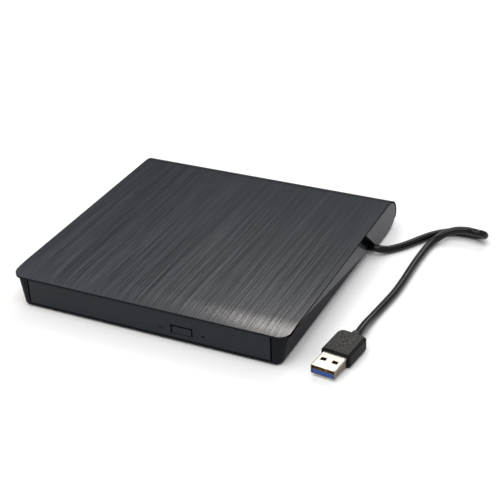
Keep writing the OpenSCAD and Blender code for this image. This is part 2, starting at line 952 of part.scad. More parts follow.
// Telescopic rail of the right side
module rail_shape() {
    union() {
        span_d([rail_out - rail_t, rail_out], rail_span, [rail_z - rail_half, rail_z + rail_half]);
        span_d([rail_in, rail_out], rail_span, [rail_z + rail_half - rail_t, rail_z + rail_half]);
        span_d([rail_in, rail_out], rail_span, [rail_z - rail_half, rail_z - rail_half + rail_t]);
    }
}

// Telescopic rail on the left
module left_rail() {
    color("#c2c5c9")
        mirror([1, 0, 0])
            rail_shape();
}

// Telescopic rail on the right
module right_rail() {
    color("#c2c5c9")
        rail_shape();
}

// Pin on the pan that the latch hooks behind
module latch_pin() {
    color("#8f9499")
        post(latch_pin_x, yd(latch_pin_d), [pan_top, latch_z[1] + 0.4], latch_pin_r);
}

// Board at the rear of the pan
module drive_board() {
    color("#1f6b45")
        span_d([-drive_board_x, drive_board_x], drive_board_d, [drive_board_z, drive_board_z + board_t]);
}

// Parts soldered to the rear board
module drive_chips() {
    top = drive_board_z + board_t;
    near = drive_board_d[0] + 2;
    color("#202024")
        union() {
            span_d([plug_span_x[1] + 4, plug_span_x[1] + 10], [near, near + 6], [top, top + 1]);
            span_d([plug_span_x[0] - 14, plug_span_x[0] - 8], [near, near + 4], [top, top + 1.2]);
            span_d([plug_span_x[1] + 16, plug_span_x[1] + 19], [near + 7, near + 9], [top, top + 1]);
        }
}

// Plug on the rear board, with its tongue reaching the bridge socket
module drive_plug() {
    color("#18181a")
        union() {
            span_d(plug_span_x, [drive_board_d[0] + 7, drive_d + plug_back], plug_span_z);
            span_d(
                [plug_span_x[0] + 1.4, plug_span_x[1] - 1.4],
                [drive_d + plug_back - eps, socket_end - 0.4],
                [socket_slot[0] + 0.4, socket_slot[1] - 0.4]
            );
        }
}

// Flat ribbon folded under the tray
module flex_ribbon() {
    board_leg = drive_board_d[0] + 0.5;
    tray_leg = shield_end + 0.4;
    color("#d9c9a8")
        union() {
            span_d(ribbon_x, [ribbon_fold, board_leg], [ribbon_low, ribbon_low + ribbon_t]);
            span_d(ribbon_x, [ribbon_fold, ribbon_fold + ribbon_t], [ribbon_low, ribbon_high + ribbon_t]);
            span_d(ribbon_x, [ribbon_fold, tray_leg], [ribbon_high, ribbon_high + ribbon_t]);
            span_d(ribbon_x, [tray_leg - ribbon_t, tray_leg], [ribbon_high, control_z]);
            span_d(ribbon_x, [board_leg - ribbon_t, board_leg], [ribbon_low, drive_board_z]);
        }
}

// Place of the pickup deck: centred on the spindle, X along the sled's travel
module deck_place() {
    translate([0, yd(spindle_d), 0])
        rotate([0, 0, sled_turn])
            children();
}

// Window in the tray for the hub and the pickup
module tray_window() {
    deck_place() {
        post(0, 0, [web_z - over, tray_top + over], well_window_r);
        span([0, window_out], [-window_half, window_half], [web_z - over, well_z + over]);
    }
}

// Tray with its disc well, tongues, posts and ejector block
module tray() {
    color("#232427")
        difference() {
            union() {
                span_d([-tray_half, tray_half], [bezel_t, tray_end], [web_z, tray_top]);
                span_d([-tray_half, tray_half], [bezel_t, bezel_t + tray_wall], [tray_z, tray_top]);
                both_sides() {
                    span_d([tray_half - tray_wall, tray_half], [bezel_t, tray_end], [tray_z, tray_top]);
                    span_d(
                        [tray_half - eps, tongue_x],
                        tongue_span,
                        [rail_z - tongue_h / 2, rail_z + tongue_h / 2]
                    );
                }
                span_d([eject_x - 3, eject_x + 3], eject_block, [eject_low, web_z + eps]);
                for (x = front_board_x)
                    span_d(
                        [x - 1, x + 1],
                        [front_board_d[1] - 2, front_board_d[1]],
                        [front_board_z + board_t, web_z + eps]
                    );
                for (x = control_x, d = control_d)
                    span_d([x - 1, x + 1], [d - 1, d + 1], [control_z + board_t, web_z + eps]);
                post(latch_x, yd(latch_d), [tray_z, web_z + eps], latch_post_r);
            }
            post(0, yd(spindle_d), [well_z, tray_top + over], well_dia / 2);
            tray_window();
            span_d(
                [front_board_x[0], pinhole_x + 3.6],
                [bezel_t - over, bezel_t + tray_wall + gap],
                [tray_z + 0.55, web_z]
            );
            post_y(eject_x, [yd(eject_block[0] + 3), yd(eject_block[1] - 1)], eject_z, eject_bore);
            post_y(
                eject_x,
                [yd(eject_block[1] - over), yd(eject_block[1] + over)],
                eject_z,
                eject_rod_r + gap
            );
            deck_place()
                for (p = deck_mounts)
                    post(p[0], p[1], [web_z - eps, web_z + 0.7], deck_screw_r + 0.05);
        }
}

// Front panel with openings for the button, the indicator and the pinhole
module bezel() {
    face_t = bezel_t - 1.8;
    half = drive_half;
    color("#2b2f34")
        difference() {
            union() {
                span_d([-half, half], [0, face_t], [panel_z, panel_top]);
                span_d([-half + 2, half - 2], [face_t - eps, bezel_t], [tray_top - 0.75, tray_top + 0.25]);
                span_d([-half + 2, half - 2], [face_t - eps, bezel_t], [tray_z, tray_z + 0.5]);
                for (s = [-1, 1])
                    span_d(
                        [s * (half - 12) - 5, s * (half - 12) + 5],
                        [face_t - eps, bezel_t],
                        [tray_z + 1.65, web_z]
                    );
            }
            span_d(
                [button_x - button_w / 2 - 0.25, button_x + button_w / 2 + 0.25],
                [-over, face_t + over],
                [button_z - button_h / 2 - 0.25, button_z + button_h / 2 + 0.25]
            );
            span_d(
                [lens_x - 1.45, lens_x + 1.45],
                [-over, face_t + over],
                [button_z - 1.05, button_z + 0.25]
            );
            post_y(pinhole_x, [yd(-over), yd(face_t + over)], button_z - 0.5, pinhole_r);
        }
}

// Sheet that closes the tray from below
module tray_shield() {
    color("#9fa4a9")
        span_d([-tray_half + 0.2, tray_half - pin_lane], [bezel_t + 0.4, shield_end], [shield_z, tray_z]);
}

// Outline of the pickup deck
module deck_outline() {
    out = window_out + 1.6;
    union() {
        polygon([
            [deck_back, -deck_half], [rod_ends[1] - 1, -deck_half], [out, -window_half],
            [out, window_half], [rod_ends[1] - 1, deck_half], [deck_back, deck_half]
        ]);
        for (p = deck_mounts)
            translate(p)
                circle(damper_r + 0.8);
        translate([deck_mounts[2][0] - 2, deck_mounts[3][1]])
            square([4, deck_mounts[2][1] - deck_mounts[3][1]]);
    }
}

// Sheet metal deck that carries the spindle, rods and sled motor
module deck() {
    block = [-1.5, 1.5];
    color("#b9bcc0")
        deck_place()
            difference() {
                union() {
                    difference() {
                        translate([0, 0, deck_z])
                            linear_extrude(deck_t)
                                deck_outline();
                        span(
                            [spindle_cut - 1.7, window_out],
                            [-window_half, window_half],
                            [deck_z - over, deck_top + over]
                        );
                    }
                    post(0, 0, [deck_z, deck_top], rotor_hole + ring_wall);
                    for (s = [-1, 1], u = [rod_ends[0], rod_ends[1] - rod_block])
                        span(
                            [u, u + rod_block],
                            [s * rod_v + block[0], s * rod_v + block[1]],
                            [rod_z - rod_r - rod_wall, deck_z + eps]
                        );
                    span(screw_block, [rod_v + 1, screw_side], [rod_z - rod_r - rod_wall, deck_z + eps]);
                }
                post(0, 0, [deck_z - over, deck_top + over], rotor_hole);
                for (s = [-1, 1])
                    post_x([rod_ends[0] - over, rod_ends[1] + over], s * rod_v, rod_z, rod_r + rod_fit / 2);
                post_x([screw_block[0] - 1, screw_block[1] + 1], screw_v, rod_z, journal_r + 0.05);
                for (p = deck_mounts)
                    post(p[0], p[1], [deck_z - over, deck_top + over], deck_screw_r + 0.15);
            }
}

// Rubber discs between the deck and the tray
module deck_dampers() {
    color("#2a2a2a")
        deck_place()
            for (p = deck_mounts)
                difference() {
                    post(p[0], p[1], [deck_top, web_z], damper_r);
                    post(p[0], p[1], [deck_top - over, web_z + over], deck_screw_r + 0.15);
                }
}

// Screws that hang the deck from the tray
module deck_screws() {
    color("#777b80")
        deck_place()
            for (p = deck_mounts) {
                post(p[0], p[1], [deck_z - 0.65, deck_z], 1.7);
                post(p[0], p[1], [deck_z - eps, web_z + 0.6], deck_screw_r);
            }
}

// Two rods that guide the sled
module guide_rods() {
    color("#d5d8db")
        deck_place()
            for (s = [-1, 1])
                post_x(rod_ends, s * rod_v, rod_z, rod_r);
}

// Fixed part of the spindle motor
module spindle_motor() {
    color("#8d9196")
        deck_place()
            difference() {
                post(0, 0, [tray_z + 0.25, deck_z], stator_r);
                post(0, 0, [tray_z + 1.4, deck_z + over], shaft_r + shaft_fit);
            }
}

// Turntable with its shaft, rotor cup and disc hub
module turntable() {
    color("#c9cbcf")
        deck_place()
            difference() {
                union() {
                    post(0, 0, [tray_z + 1.7, rotor_z + eps], shaft_r);
                    post(0, 0, [rotor_z, seat_z - 0.6], rotor_r);
                    post(0, 0, [seat_z - 0.6 - eps, seat_z - 0.3], flange_r);
                    post(0, 0, [seat_z - 0.3 - eps, seat_z], hub_r + 0.3);
                    post(0, 0, [seat_z - eps, seat_z + hub_wall], hub_r);
                    translate([0, 0, seat_z + hub_wall - eps])
                        cylinder(r1 = hub_r, r2 = hub_r - 0.6, h = hub_cone);
                }
                for (a = [0:120:240])
                    rotate([0, 0, a])
                        span([4.4, hub_r + 1], [-1.1, 1.1], [seat_z + 0.4, seat_z + 1.6]);
            }
}

// Friction ring under the disc
module turntable_ring() {
    color("#2c2c2e")
        deck_place()
            difference() {
                post(0, 0, [seat_z - 0.3, seat_z], flange_r - 0.2);
                post(0, 0, [seat_z - over, seat_z + over], flange_r - 3.4);
            }
}

// Three spring claws in the hub
module hub_claws() {
    color("#e4e2da")
        deck_place()
            for (a = [0:120:240])
                rotate([0, 0, a])
                    span([4.4, hub_r - 0.15], [-1, 1], [seat_z + 0.5, seat_z + 1.5]);
}

// Sled motor, a round can with flats
module sled_motor() {
    color("#a3a6aa")
        deck_place()
            difference() {
                intersection() {
                    post_x(motor_span, screw_v, rod_z, motor_half);
                    span(motor_span, [screw_v - motor_half, screw_v + motor_half], [tray_z + 0.1, deck_z]);
                }
                post_x([motor_span[1] - 3.4, motor_span[1] + over], screw_v, rod_z, journal_r + 0.05);
            }
}

// Lead screw with its journals
module lead_screw() {
    color("#d0c9a6")
        deck_place()
            union() {
                post_x([motor_span[1] - 3, screw_span[0] + eps], screw_v, rod_z, journal_r);
                post_x(screw_span, screw_v, rod_z, screw_r);
                post_x([screw_span[1] - eps, screw_block[1]], screw_v, rod_z, journal_r);
            }
}

// Pickup sled at the innermost track
module pickup_sled() {
    pocket = holder_half + holder_play;
    color("#4a4d52")
        deck_place()
            difference() {
                union() {
                    span(
                        [lens_in - sled_back, lens_in + sled_out],
                        [-sled_half, sled_half],
                        [sled_low, sled_top]
                    );
                    span(arm_span, [sled_half - eps, screw_side], sled_arm);
                    span([14, 20], [-rod_v - 2.2, -sled_half + eps], sled_arm);
                }
                post(0, 0, [sled_low - over, sled_top + over], spindle_cut);
                for (s = [-1, 1])
                    post_x([-over, 80], s * rod_v, rod_z, rod_r + rod_fit);
                post_x([-over, 80], screw_v, rod_z, screw_r + 0.1);
                span(
                    [lens_in - 6.5 - holder_play, lens_in + 2.9 + holder_play],
                    [-pocket, pocket],
                    [holder_z - focus_travel - 0.2, sled_top + over]
                );
            }
}

// Sprung holder of the objective lens
module lens_holder() {
    color("#d8d8d4")
        deck_place()
            difference() {
                span(
                    [lens_in - 6.5, lens_in + 2.9],
                    [-holder_half, holder_half],
                    [holder_z, sled_top + 0.1]
                );
                post(lens_in - 1.6, 0, [holder_z + 0.5, sled_top + over], lens_r);
            }
}

// Objective lens
module objective_lens() {
    cap_h = 0.5;
    ball = (lens_r * lens_r + cap_h * cap_h) / (2 * cap_h);
    color("#9fb6d8")
        deck_place()
            translate([lens_in - 1.6, 0, 0])
                union() {
                    post(0, 0, [holder_z + 0.5, sled_top + 0.1], lens_r - 0.02);
                    intersection() {
                        translate([0, 0, sled_top + 0.1 + cap_h - ball])
                            sphere(r = ball, $fn = 64);
                        post(0, 0, [sled_top + 0.1 - eps, sled_top + 2], lens_r - 0.02);
                    }
                }
}

// Small board behind the front panel
module front_board() {
    color("#1f6b45")
        span_d(
            [front_board_x[0] - 1, front_board_x[1] + 1],
            front_board_d,
            [front_board_z, front_board_z + board_t]
        );
}

// Push switch behind the eject button
module eject_switch() {
    top = front_board_z + board_t;
    color("#303236")
        union() {
            span_d([button_x - 3, button_x + 3], [switch_d + 0.5, switch_d + 4], [top, web_z - 0.4]);
            post_y(button_x, [yd(switch_d), yd(switch_d + 0.5 + eps)], button_z, 1);
        }
}

// Lamp behind the indicator window
module status_led() {
    color("#e8e6dc")
        span_d(
            [lens_x - 0.9, lens_x + 0.9],
            [bezel_t + 1.6, bezel_t + 3.4],
            [front_board_z + board_t, button_z + 0.4]
        );
}

// Indicator window with its light pipe
module status_lens() {
    color("#9a9c94")
        span_d([lens_x - 1.4, lens_x + 1.4], [0.05, bezel_t + 1.5], [button_z - 1, button_z + 0.2]);
}

// Board under the tray
module control_board() {
    color("#1f6b45")
        span_d(
            [control_x[0] - 1, control_x[1] + 1],
            [control_d[0] - 1, control_d[1] + 1],
            [control_z, control_z + board_t]
        );
}

// Parts soldered under the control board
module control_chips() {
    left = control_x[0];
    near = control_d[0];
    color("#202024")
        union() {
            span_d([left + 6, left + 18], [near + 6, near + 18], [control_z - 1.2, control_z]);
            span_d([left + 23, left + 29], [near + 4, near + 12], [control_z - 1, control_z]);
            span_d([left + 22, left + 30], [near + 18, near + 23], [control_z - 1, control_z]);
        }
}

// Magnet that holds and frees the latch
module latch_solenoid() {
    back = bezel_t + 5.5;
    color("#b2593a")
        union() {
            span_d([latch_x - 10, latch_x - 3], [bezel_t + tray_wall, back], [tray_z + 0.25, web_z]);
            span_d([latch_x - 8.5, latch_x - 4.5], [back - eps, back + 0.3], [tray_z + 1, tray_z + 2.2]);
        }
}

// Latch lever with its hook and its manual release arm
module latch_lever() {
    height = latch_z[1] - latch_z[0];
    color("#cfcabb")
        translate([latch_x, yd(latch_d), latch_z[0]])
            difference() {
                union() {
                    cylinder(r = 2.4, h = height);
                    rotate([0, 0, -50])
                        translate([0, -1, 0])
                            cube([7.6, 2, height]);
                    rotate([0, 0, 180 + release_turn])
                        translate([0, -0.8, 0])
                            cube([release_len, 1.6, height]);
                }
                translate([0, 0, -over])
                    cylinder(r = latch_post_r + shaft_fit, h = height + 2 * over);
            }
}

// Eject button with its stem
module eject_button() {
    back = bezel_t - button_travel - gap;
    color("#2b2f34")
        union() {
            span_d(
                [button_x - button_w / 2, button_x + button_w / 2],
                [0, back],
                [button_z - button_h / 2, button_z + button_h / 2]
            );
            span_d(
                [button_x - 1.5, button_x + 1.5],
                [back - eps, switch_d - button_travel - gap],
                [button_z - stem_half, button_z + stem_half]
            );
        }
}

// Rod that pushes the tray off the rear wall
module ejector_rod() {
    color("#c9c4b4")
        union() {
            post_y(eject_x, [yd(eject_collar[0]), yd(eject_collar[1])], eject_z, eject_bore - 0.1);
            post_y(eject_x, [yd(eject_collar[1] - eps), yd(rear_wall_d - 0.3)], eject_z, eject_rod_r);
        }
}

// Spring behind the ejector rod, inside its closed bore
module ejector_spring() {
    color("#b8bbbf")
        difference() {
            post_y(eject_x, [yd(eject_spring_end), yd(eject_collar[0] - 0.05)], eject_z, eject_bore - 0.15);
            post_y(eject_x, [yd(eject_block[0]), yd(eject_collar[0] + over)], eject_z, eject_bore - 0.6);
        }
}

// Direction of the cable at point i of its route
function heading(i) =
    i == 0 ? [1, 0, 0]
    : i == len(route) - 1 ? [sin(plug_yaw), -cos(plug_yaw), 0]
    : unit(unit(route[i + 1] - route[i]) + unit(route[i] - route[i - 1]));

// Ring of points round the cable at point i of its route
function cord_ring(i) =
    let (t = heading(i), side = unit(cross(t, [0, 0, 1])), rise = cross(side, t))
    [
        for (j = [0:cord_sides - 1])
            let (a = 360 * (j + 0.5) / cord_sides)
            route[i] + cord_r * (cos(a) * side + sin(a) * rise)
    ];

// Free cable from the strain relief to the plug
module usb_cable() {
    rings = len(route);
    points = [for (i = [0:rings - 1]) each cord_ring(i)];
    walls = [
        for (i = [0:rings - 2], j = [0:cord_sides - 1])
            let (k = (j + 1) % cord_sides)
            each [
                [i * cord_sides + j, (i + 1) * cord_sides + j, (i + 1) * cord_sides + k],
                [i * cord_sides + j, (i + 1) * cord_sides + k, i * cord_sides + k]
            ]
    ];
    ends = [
        [for (j = [0:cord_sides - 1]) j],
        [for (j = [cord_sides - 1:-1:0]) (rings - 1) * cord_sides + j]
    ];
    color("#17171a")
        polyhedron(points = points, faces = concat(walls, ends));
}

// Place of the plug: Y runs from its mouth to the cable, the origin is on the grip's front face
module plug_place() {
    translate([plug_at[0], plug_at[1], plug_z])
        rotate([0, 0, plug_yaw])
            children();
}

// Moulded grip of the plug with its collar
module plug_body() {
    bevel = 1.2;
    back_r = 2;
    half = plug_w / 2;
    levels = [[-plug_h / 2, bevel], [plug_h / 2, bevel], [-plug_h / 2 + bevel, 0]];
    color("#3a3938")
        plug_place()
            union() {
                hull()
                    for (s = [-1, 1], level = levels) {
                        in = level[1];
                        z = min(level[0], plug_h / 2 - eps);
                        translate([s * (half - 0.6 - in), 0.6 + in / 3, z])
                            cylinder(r = 0.6, h = in == 0 ? plug_h - 2 * bevel : eps, $fn = 16);
                        translate([s * (half - back_r - in), plug_len - back_r - in / 2, z])
                            cylinder(r = back_r, h = in == 0 ? plug_h - 2 * bevel : eps, $fn = 32);
                    }
                post_y(0, [plug_len - 1, plug_len + collar_len], 0, collar_r);
            }
}

// Folded metal shell of the plug, with two latch windows
module plug_shell() {
    half = shell_w / 2;
    inner = [half - shell_t, shell_h / 2 - shell_t];
    color("#d9d9d6")
        plug_place()
            difference() {
                span([-half, half], [-shell_len, 0], [-shell_h / 2, shell_h / 2]);
                span([-inner[0], inner[0]], [-shell_len - over, over], [-inner[1], inner[1]]);
                for (s = [-1, 1], z = [-1, 1])
                    span(
                        [s * 2.9 - 1.4, s * 2.9 + 1.4],
                        [-shell_len + 5, -shell_len + 7.2],
                        [z * shell_h / 2 - 1, z * shell_h / 2 + 1]
                    );
            }
}

// Coloured tongue inside the plug's shell
module plug_insert() {
    half = shell_w / 2 - shell_t;
    low = -shell_h / 2 + shell_t;
    color("#2f5fb0")
        plug_place()
            span([-half + 0.05, half - 0.05], [-shell_len + 0.5, 0], [low + 0.02, low + 1.9]);
}

// Contacts on the tongue
module plug_contacts() {
    top = -shell_h / 2 + shell_t + 1.9;
    color("#c9a54a")
        plug_place()
            for (x = [-3.5, -1, 1, 3.5])
                span([x - 0.5, x + 0.5], [-shell_len + 1.2, -1.5], [top, top + 0.15]);
}

top_cover();
housing();
rubber_feet();
case_screws();
foam_pads();
bridge_board();
bridge_chips();
bridge_socket();
wire_bundle();
cable_boot();
usb_cable();
plug_body();
plug_shell();
plug_insert();
plug_contacts();
drive_pan();
drive_lid();
lid_screws();
left_guide();
right_guide();
latch_pin();
drive_board();
drive_chips();
drive_plug();
flex_ribbon();
left_rail();
right_rail();
tray();
bezel();
tray_shield();
deck();
deck_dampers();
deck_screws();
guide_rods();
spindle_motor();
sled_motor();
front_board();
eject_switch();
status_led();
status_lens();
control_board();
control_chips();
latch_solenoid();
eject_button();
turntable();
turntable_ring();
hub_claws();
pickup_sled();
lens_holder();
objective_lens();
lead_screw();
latch_lever();
ejector_rod();
ejector_spring();
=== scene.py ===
"""External disc drive: cable, surfaces, materials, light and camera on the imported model."""

import json
import math

import bmesh
import bpy
from mathutils import Matrix, Vector

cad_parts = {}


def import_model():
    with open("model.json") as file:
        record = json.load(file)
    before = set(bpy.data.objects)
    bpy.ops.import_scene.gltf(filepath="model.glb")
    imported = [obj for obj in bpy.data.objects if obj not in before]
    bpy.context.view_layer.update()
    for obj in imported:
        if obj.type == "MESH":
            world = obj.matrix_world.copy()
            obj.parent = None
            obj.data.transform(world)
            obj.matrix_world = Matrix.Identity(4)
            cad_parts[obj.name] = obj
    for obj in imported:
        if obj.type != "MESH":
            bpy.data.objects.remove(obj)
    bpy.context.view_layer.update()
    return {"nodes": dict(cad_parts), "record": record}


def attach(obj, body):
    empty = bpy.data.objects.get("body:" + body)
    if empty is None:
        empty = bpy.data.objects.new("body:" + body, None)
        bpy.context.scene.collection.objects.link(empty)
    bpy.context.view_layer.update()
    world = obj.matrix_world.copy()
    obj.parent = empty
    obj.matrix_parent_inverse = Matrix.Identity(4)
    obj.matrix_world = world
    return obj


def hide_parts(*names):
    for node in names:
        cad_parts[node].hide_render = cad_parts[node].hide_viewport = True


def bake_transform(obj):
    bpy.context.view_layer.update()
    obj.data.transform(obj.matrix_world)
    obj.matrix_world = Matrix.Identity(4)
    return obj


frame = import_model()
nodes = frame["nodes"]
scene = bpy.context.scene
scene.view_settings.view_transform = "Standard"
MM = 0.001


def mm(x, y, z):
    """Point of the row frame given in millimetres."""
    return Vector((x, y, z)) * MM


# Camera, fitted to the photo's edges
CAM_PLACE = mm(251.796, -461.453, 313.475)
CAM_TURN, CAM_DOWN, CAM_ROLL = 26.601, 30.322, -2.526
CAM_LENS, CAM_SENSOR = 85.69, 36
CAM_CLIP = (0.01, 20)


def camera():
    a, e, r = (math.radians(v) for v in (CAM_TURN, CAM_DOWN, CAM_ROLL))
    ahead = Vector((-math.sin(a) * math.cos(e), math.cos(a) * math.cos(e), -math.sin(e)))
    right = Vector((math.cos(a), math.sin(a), 0))
    up = right.cross(ahead)
    x = right * math.cos(r) + up * math.sin(r)
    y = up * math.cos(r) - right * math.sin(r)
    data = bpy.data.cameras.new("camera")
    data.sensor_width = CAM_SENSOR
    data.lens = CAM_LENS
    data.clip_start, data.clip_end = CAM_CLIP
    obj = bpy.data.objects.new("camera", data)
    turn = Matrix((x, y, -ahead)).transposed().to_4x4()
    obj.matrix_world = Matrix.Translation(CAM_PLACE) @ turn
    scene.collection.objects.link(obj)
    scene.camera = obj


camera()

# Cable, from its outlet in the slot round a loop to the plug's collar, by the source's sizes
CORD_D = 4.0
CORD_STEPS = 6  # pieces of the curve between two points, and steps of its round section
CORD_START = (70.0, 37.3822)
PLUG_AT = (CORD_START[0] + 20.7, CORD_START[1] - 97.3)
PLUG_YAW = math.radians(-6.4)
PLUG_H, PLUG_LEN, COLLAR_LEN = 7.4, 17.5, 3.2
PLUG_END = (
    PLUG_AT[0] - (PLUG_LEN + COLLAR_LEN) * math.sin(PLUG_YAW),
    PLUG_AT[1] + (PLUG_LEN + COLLAR_LEN) * math.cos(PLUG_YAW),
)
LEAVE = [
    (0, 0, 1.9), (3.2, 0, 1.9), (6.2, 0.6, 1.5), (8.2, 2.2, 0.8), (10.4, 4.7, 0.1),
    (14.4, 9.2, 0), (18, 14.6, 0), (21.3, 20.2, 0), (24.9, 25.6, 0), (29.3, 30.4, 0),
    (34.7, 33.9, 0), (40.6, 35, 0), (46.4, 34.8, 0.1), (49.8, 34, 0.8), (51.7, 32.6, 1.8),
    (52.2, 30.9, 3.2), (51.3, 29.4, 4.4), (49.4, 28.6, 5), (47, 28.6, 5.1), (43.6, 29.3, 4.9),
    (37.9, 28.9, 4.1), (33, 26.3, 2.7), (29.2, 21.5, 0.9), (27.4, 15.4, 0.1), (26.8, 9, 0),
]
APPROACH = [
    (3.5, 78.4, 0), (3.4, 72, 0), (3.4, 65.8, 0), (3.5, 59.7, 0), (3.5, 53.6, 0),
    (3.4, 47.7, 0), (3.1, 41.6, 0), (2.5, 35.7, 0), (1.8, 29.7, 0), (1.1, 23.8, 0),
    (0.5, 17.4, 0.3), (0.15, 11, 1.02), (0.2, 5.8, 1.53), (0.2, 2.4, 1.7), (0, 0, 1.7),
]


def smooth_line(points, steps):
    """Points of a Catmull-Rom curve through the given ones."""
    line = []
    last = len(points) - 1
    for i in range(last):
        a, b = points[max(i - 1, 0)], points[i]
        c, d = points[i + 1], points[min(i + 2, last)]
        for k in range(steps):
            t = k / steps
            line.append(
                0.5 * (2 * b + (c - a) * t + (2 * a - 5 * b + 4 * c - d) * t * t
                       + (3 * b - a - 3 * c + d) * t ** 3)
            )
    line.append(points[last])
    return line


def cord_line():
    """Middle of the cable: the points above give heights over its rest on the floor."""
    rest = CORD_D / 2
    points = [mm(CORD_START[0] + x, CORD_START[1] + y, rest + z) for x, y, z in LEAVE]
    points += [mm(PLUG_END[0] + x, PLUG_END[1] + y, rest + z) for x, y, z in APPROACH]
    return smooth_line(points, CORD_STEPS)


def cable():
    """Round cable as a mesh, with its middle line and its length."""
    line = cord_line()
    data = bpy.data.curves.new("usb_cable_round", "CURVE")
    data.dimensions = "3D"
    data.bevel_depth = CORD_D / 2 * MM
    data.bevel_resolution = CORD_STEPS
    data.use_fill_caps = True
    spline = data.splines.new("POLY")
    spline.points.add(len(line) - 1)
    for p, at in zip(spline.points, line):
        p.co = (*at, 1)
    spline.use_smooth = True
    guide = bpy.data.objects.new("usb_cable_guide", data)
    scene.collection.objects.link(guide)
    state = bpy.context.evaluated_depsgraph_get()
    mesh = bpy.data.meshes.new_from_object(guide.evaluated_get(state))
    bpy.data.objects.remove(guide)
    obj = bpy.data.objects.new("usb_cable_round", mesh)
    scene.collection.objects.link(obj)
    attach(obj, "case")
    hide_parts("usb_cable")
    length = sum((b - a).length for a, b in zip(line, line[1:]))
    return obj, line, length


cord_obj, cord_path, cord_length = cable()

# Materials: colour, roughness, metal, specular level
FINISH = {
    "skin": ((0.105, 0.11, 0.12), 0.26, 1.0, 0.5),
    "shell": ((0.012, 0.013, 0.017), 0.58, 0.0, 0.07),
    "panel": ((0.014, 0.018, 0.024), 0.42, 0.0, 0.2),
    "rubber": ((0.012, 0.012, 0.012), 0.6, 0.0, 0.3),
    "foam": ((0.05, 0.05, 0.05), 0.9, 0.0, 0.2),
    "screw_steel": ((0.3, 0.3, 0.31), 0.35, 1.0, 0.5),
    "board": ((0.02, 0.13, 0.06), 0.4, 0.0, 0.5),
    "chip": ((0.015, 0.015, 0.017), 0.45, 0.0, 0.5),
    "wire": ((0.25, 0.02, 0.02), 0.45, 0.0, 0.5),
    "cable": ((0.003, 0.003, 0.004), 0.1, 0.0, 0.24),
    "grip": ((0.03, 0.03, 0.029), 0.58, 0.0, 0.14),
    "plug_metal": ((0.86, 0.85, 0.82), 0.24, 1.0, 0.5),
    "plug_tongue": ((0.014, 0.085, 0.36), 0.3, 0.0, 0.4),
    "contact": ((0.70, 0.50, 0.16), 0.25, 1.0, 0.5),
    "sheet": ((0.42, 0.43, 0.45), 0.35, 1.0, 0.5),
    "rail_steel": ((0.55, 0.56, 0.58), 0.25, 1.0, 0.5),
    "slide_plastic": ((0.62, 0.60, 0.54), 0.4, 0.0, 0.5),
    "ribbon": ((0.55, 0.42, 0.20), 0.35, 0.0, 0.5),
    "tray_plastic": ((0.018, 0.018, 0.020), 0.4, 0.0, 0.5),
    "motor_metal": ((0.5, 0.5, 0.52), 0.28, 1.0, 0.5),
    "sled_metal": ((0.08, 0.085, 0.095), 0.4, 1.0, 0.5),
    "lamp": ((0.75, 0.74, 0.68), 0.2, 0.0, 0.5),
    "window": ((0.006, 0.008, 0.01), 0.3, 0.0, 0.15),
    "coil": ((0.45, 0.16, 0.06), 0.35, 1.0, 0.5),
    "optic": ((0.6, 0.72, 0.9), 0.05, 0.0, 0.5),
}


def principled(name, color, rough, metal, spec):
    mat = bpy.data.materials.new(name)
    mat.use_nodes = True
    shader = mat.node_tree.nodes["Principled BSDF"]
    shader.inputs["Base Color"].default_value = (*color, 1)
    shader.inputs["Roughness"].default_value = rough
    shader.inputs["Metallic"].default_value = metal
    shader.inputs["Specular IOR Level"].default_value = spec
    return mat


BLACK, WHITE = (0, 0, 0), (1, 1, 1)
materials = {slot: principled(slot, *look) for slot, look in FINISH.items()}


def tree_of(slot):
    return materials[slot].node_tree


def shader_input(tree, name):
    return tree.nodes["Principled BSDF"].inputs[name]


def calc(tree, operation, *terms):
    """Math over numbers and sockets."""
    node = tree.nodes.new("ShaderNodeMath")
    node.operation = operation
    for socket, term in zip(node.inputs, terms):
        if isinstance(term, (int, float)):
            socket.default_value = term
        else:
            tree.links.new(term, socket)
    return node.outputs[0]


def axis(tree, vector, name):
    """One coordinate of a vector."""
    node = tree.nodes.new("ShaderNodeSeparateXYZ")
    tree.links.new(vector, node.inputs["Vector"])
    return node.outputs[name]


def facing(tree, name):
    """One coordinate of the direction in which the surface looks."""
    return axis(tree, tree.nodes.new("ShaderNodeNewGeometry").outputs["Normal"], name)


def place(tree, name):
    """One coordinate of the place on the object, in metres."""
    return axis(tree, tree.nodes.new("ShaderNodeTexCoord").outputs["Object"], name)


def noise(tree, stretch, detail):
    """Noise over the object's own coordinates, finer along an axis with a larger stretch."""
    at = tree.nodes.new("ShaderNodeTexCoord")
    by = tree.nodes.new("ShaderNodeMapping")
    by.inputs["Scale"].default_value = stretch
    tex = tree.nodes.new("ShaderNodeTexNoise")
    tex.inputs["Scale"].default_value = 1
    tex.inputs["Detail"].default_value = detail
    tree.links.new(at.outputs["Object"], by.inputs["Vector"])
    tree.links.new(by.outputs["Vector"], tex.inputs["Vector"])
    return tex.outputs["Fac"]


def bump(tree, height, strength, distance):
    node = tree.nodes.new("ShaderNodeBump")
    node.inputs["Strength"].default_value = strength
    node.inputs["Distance"].default_value = distance
    tree.links.new(height, node.inputs["Height"])
    tree.links.new(node.outputs["Normal"], shader_input(tree, "Normal"))


def ramp(tree, value, stops):
    """Colour by value, from (value, colour) stops."""
    node = tree.nodes.new("ShaderNodeValToRGB")
    elements = node.color_ramp.elements
    while len(elements) < len(stops):
        elements.new(0.5)
    for element, (position, color) in zip(elements, stops):
        element.position = position
        element.color = (*color, 1)
    tree.links.new(value, node.inputs["Fac"])
    return node.outputs["Color"]


def share(tree, value, low, high):
    """0 up to low and 1 from high on."""
    return ramp(tree, value, [(low, BLACK), (high, WHITE)])


def paint(tree, color):
    tree.links.new(color, shader_input(tree, "Base Color"))


